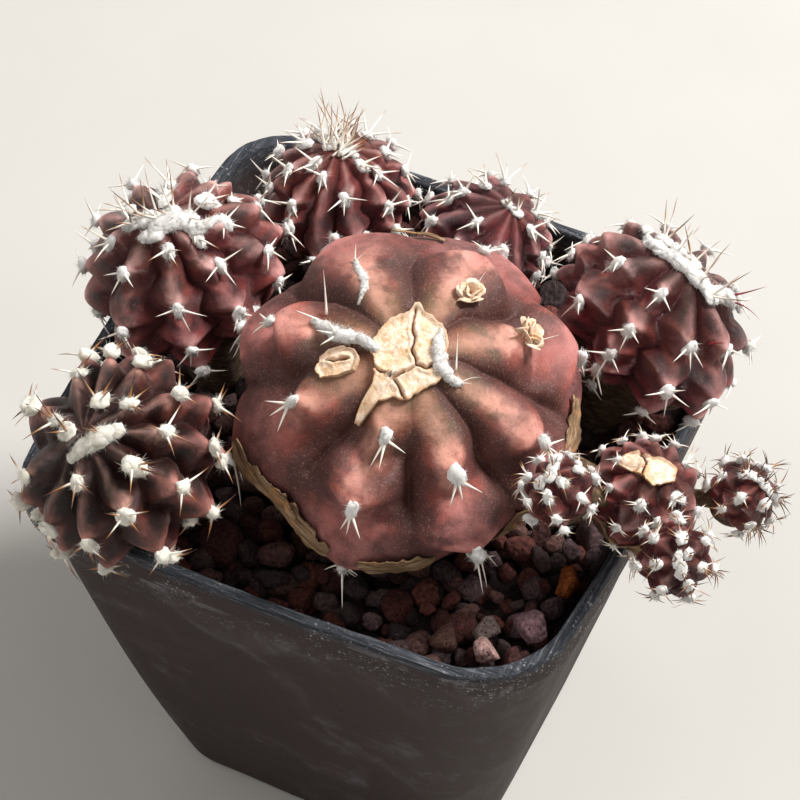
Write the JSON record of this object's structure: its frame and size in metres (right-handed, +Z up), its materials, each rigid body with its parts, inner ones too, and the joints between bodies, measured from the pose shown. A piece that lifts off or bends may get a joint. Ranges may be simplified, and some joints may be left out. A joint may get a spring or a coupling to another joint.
{
  "type": "potted gymnocalycium mihanovichii",
  "caption": "Brick-red ribbed cactus with a ring of dark woolly, spiny offsets, standing in grit in a square black plastic nursery pot.",
  "frame": {"origin": "centre of the pot's base, on the surface it stands on", "axes": "+Z up, +X and +Y along the sides of the square pot; the picture looks down from the front, a little to the right"},
  "size_m": [0.1303, 0.1073, 0.1211],
  "materials": {
    "pot_plastic": "black satin plastic, scuffed, with lime specks on the rim",
    "lava_grit": "rough porous lava grains, maroon to grey-black",
    "mother_skin": "velvety brick-red plant skin with pale cork and white wool",
    "offset_skin": "satin wine-red to blackish plant skin with white wool and ivory spines"
  },
  "bodies": {
    "root": {"pot": "pot_plastic", "soil": "lava_grit", "mother": "mother_skin", "offset_front_left": "offset_skin", "offset_back_left": "offset_skin", "offset_back": "offset_skin", "offset_back_right": "offset_skin", "offset_right": "offset_skin", "offset_front_right": "offset_skin", "pup_upper": "offset_skin", "pup_right": "offset_skin", "pup_lower": "offset_skin"}
  },
  "joints": []
}
